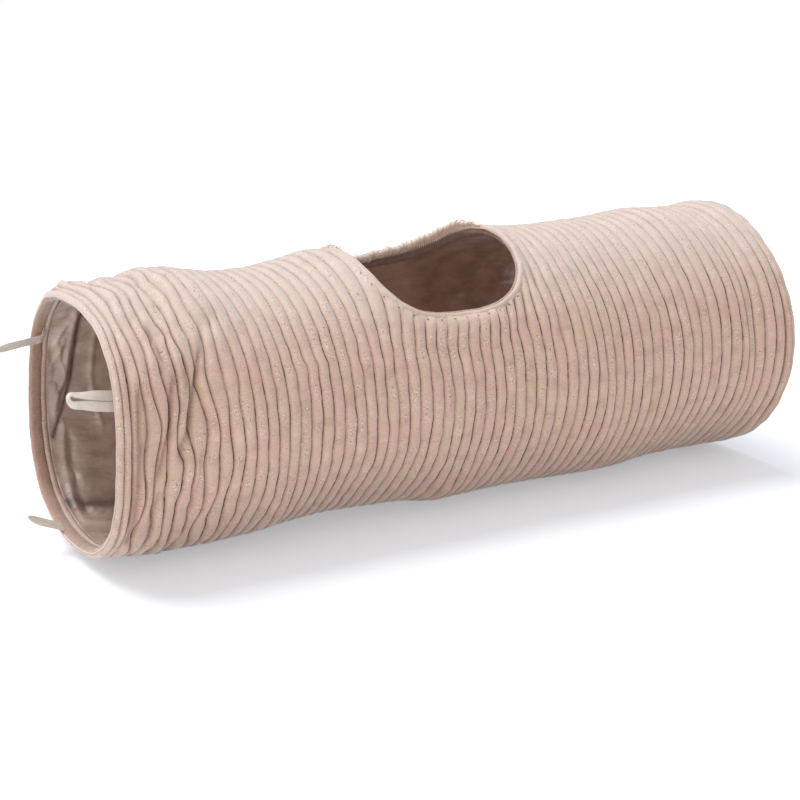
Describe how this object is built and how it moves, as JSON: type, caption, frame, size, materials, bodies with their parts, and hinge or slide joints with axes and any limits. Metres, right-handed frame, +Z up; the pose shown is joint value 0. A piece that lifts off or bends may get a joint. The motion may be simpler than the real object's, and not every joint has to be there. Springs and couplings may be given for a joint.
{
  "type": "cat tunnel",
  "caption": "Collapsible cat tunnel: corduroy tube on a coil of spring wire, satin lining, bound rims, tape loops and a hemmed peephole in the top.",
  "frame": {"origin": "on the floor strip, under the middle of the tunnel's length", "axes": "+X along the tunnel from the near rim with the loops to the far rim, +Z up, -Y the side the picture shows"},
  "size_m": [0.7427, 0.2498, 0.2485],
  "materials": {
    "corduroy": "wide-wale corduroy, dusty pink-beige, ribs round the tunnel",
    "binding": "folded cloth edging, dusty pink-beige",
    "satin": "soft satin, taupe, wrinkled",
    "tape": "satin tape, pale beige",
    "casing_tape": "woven tape, taupe, hidden",
    "spring_steel": "drawn spring wire, hidden",
    "button": "matt, taupe"
  },
  "bodies": {
    "near_end": {"near_cover": "corduroy", "near_lining": "satin", "near_facing": "corduroy", "near_rim_binding": "binding", "near_hoop": "spring_steel", "near_hoop_sleeve": "spring_steel", "spring_lead_in": "spring_steel", "casing_lead_in": "casing_tape"},
    "bay_1": {"cover_bay_1": "corduroy", "lining_bay_1": "satin", "spring_turn_1": "spring_steel", "casing_turn_1": "casing_tape"},
    "bay_2": {"cover_bay_2": "corduroy", "lining_bay_2": "satin", "spring_turn_2": "spring_steel", "casing_turn_2": "casing_tape", "peephole_hem": "binding"},
    "bay_3": {"cover_bay_3": "corduroy", "lining_bay_3": "satin", "spring_turn_3": "spring_steel", "casing_turn_3": "casing_tape"},
    "bay_4": {"far_cover": "corduroy", "far_lining": "satin", "spring_lead_out": "spring_steel", "casing_lead_out": "casing_tape"},
    "far_end": {"far_facing": "corduroy", "far_rim_binding": "binding", "far_hoop": "spring_steel", "far_hoop_sleeve": "spring_steel", "button_a": "button", "button_b": "button", "button_c": "button"},
    "loop_a": {"loop_a": "tape"},
    "loop_b": {"loop_b": "tape"},
    "loop_c": {"loop_c": "tape"}
  },
  "joints": [
    {"name": "collapse", "type": "slide", "parent": "near_end", "child": "far_end", "axis": [-1, 0, 0], "range_m": [0, 0.625], "stiffness_N_per_m": 15, "springref_m": -0.1, "deforming": ["near_cover", "near_lining", "spring_lead_in", "casing_lead_in", "cover_bay_1", "lining_bay_1", "spring_turn_1", "casing_turn_1", "cover_bay_2", "lining_bay_2", "spring_turn_2", "casing_turn_2", "peephole_hem", "cover_bay_3", "lining_bay_3", "spring_turn_3", "casing_turn_3", "far_cover", "far_lining", "spring_lead_out", "casing_lead_out"]},
    {"name": "bay_1_slide", "type": "slide", "parent": "near_end", "child": "bay_1", "axis": [-1, 0, 0], "range_m": [0, 0.065]},
    {"name": "bay_2_slide", "type": "slide", "parent": "near_end", "child": "bay_2", "axis": [-1, 0, 0], "range_m": [0, 0.2237]},
    {"name": "bay_3_slide", "type": "slide", "parent": "near_end", "child": "bay_3", "axis": [-1, 0, 0], "range_m": [0, 0.3825]},
    {"name": "bay_4_slide", "type": "slide", "parent": "near_end", "child": "bay_4", "axis": [-1, 0, 0], "range_m": [0, 0.5412]},
    {"name": "loop_a_hinge", "type": "hinge", "parent": "near_end", "child": "loop_a", "pos_m": [-0.3402, -0.10273, 0.16697], "axis": [0, -0.3987, -0.9171], "range_deg": [0, 170], "stiffness_Nm_per_rad": 0.004},
    {"name": "loop_b_hinge", "type": "hinge", "parent": "near_end", "child": "loop_b", "pos_m": [-0.3402, 0.09877, 0.17482], "axis": [0, -0.4695, 0.8829], "range_deg": [-8, 162], "stiffness_Nm_per_rad": 0.004},
    {"name": "loop_c_hinge", "type": "hinge", "parent": "near_end", "child": "loop_c", "pos_m": [-0.3402, 0.02896, 0.01422], "axis": [0, 0.9659, 0.2588], "range_deg": [-24, 146], "stiffness_Nm_per_rad": 0.004}
  ],
  "couplings": [
    {"joint": "bay_1_slide", "follows": "collapse", "ratio": 0.10314},
    {"joint": "bay_2_slide", "follows": "collapse", "ratio": 0.35713},
    {"joint": "bay_3_slide", "follows": "collapse", "ratio": 0.61112},
    {"joint": "bay_4_slide", "follows": "collapse", "ratio": 0.86511}
  ]
}
